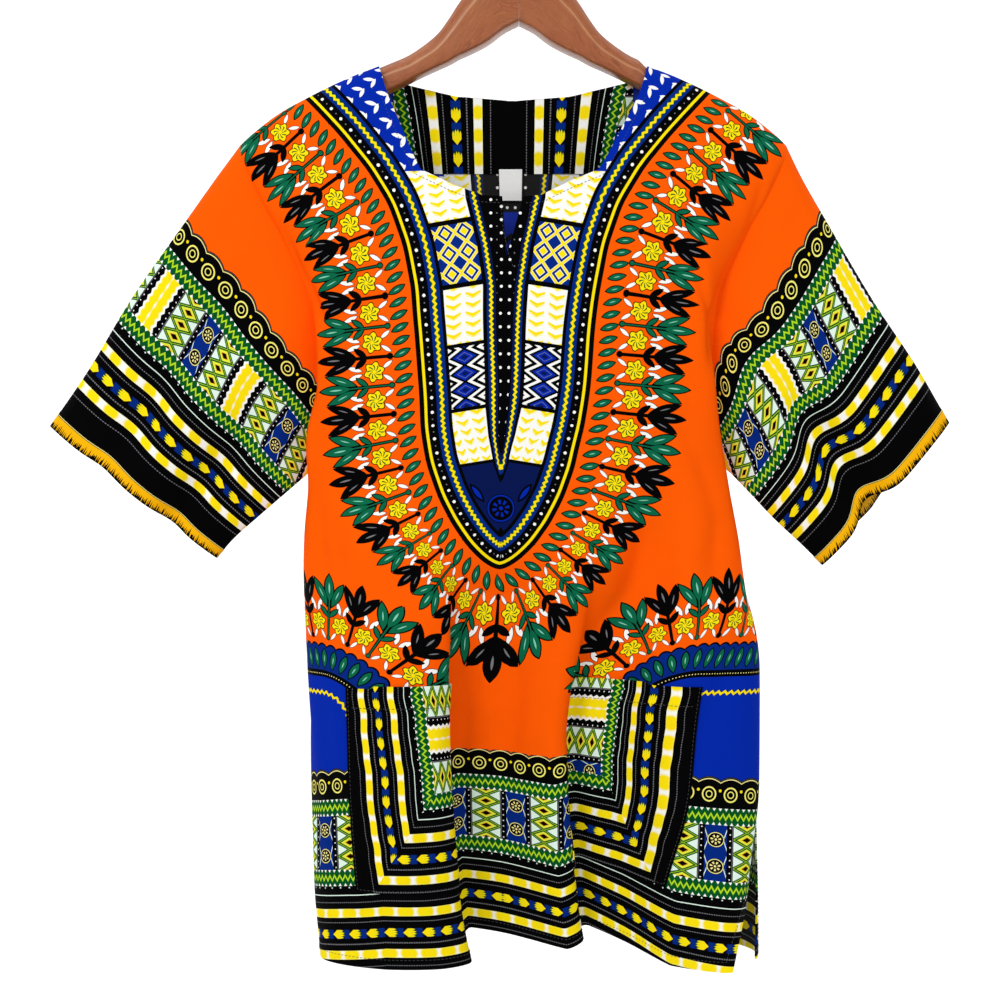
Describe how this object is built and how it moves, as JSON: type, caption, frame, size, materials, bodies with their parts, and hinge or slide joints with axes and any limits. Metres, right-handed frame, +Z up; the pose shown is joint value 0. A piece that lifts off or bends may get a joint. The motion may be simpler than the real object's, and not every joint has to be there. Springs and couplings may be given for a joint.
{
  "type": "dashiki shirt on a wooden hanger",
  "caption": "Short-sleeved printed cotton dashiki with a slit round neck, patch pockets and side slits, hanging on a contoured wooden hanger with a steel hook.",
  "frame": {"origin": "inside the crown of the hanger's hook, where a rail or a wall hook carries it", "axes": "+Z up, +X to the right seen from the front, and the wearer's front faces -Y"},
  "size_m": [0.78, 0.1427, 0.9287],
  "materials": {
    "printed_cotton": "plain-weave cotton with an orange, black, blue and yellow print",
    "label_satin": "white woven satin, blank",
    "cherry_wood": "red-brown satin lacquer",
    "steel_wire": "bright plated wire"
  },
  "bodies": {
    "root": {"front_panel": "printed_cotton", "back_panel": "printed_cotton", "sleeve_left": "printed_cotton", "sleeve_right": "printed_cotton", "pocket_left": "printed_cotton", "pocket_right": "printed_cotton", "neck_facing": "printed_cotton", "size_label": "label_satin", "hanger_arm_left": "cherry_wood", "hanger_arm_right": "cherry_wood", "hanger_hook": "steel_wire"}
  },
  "joints": []
}
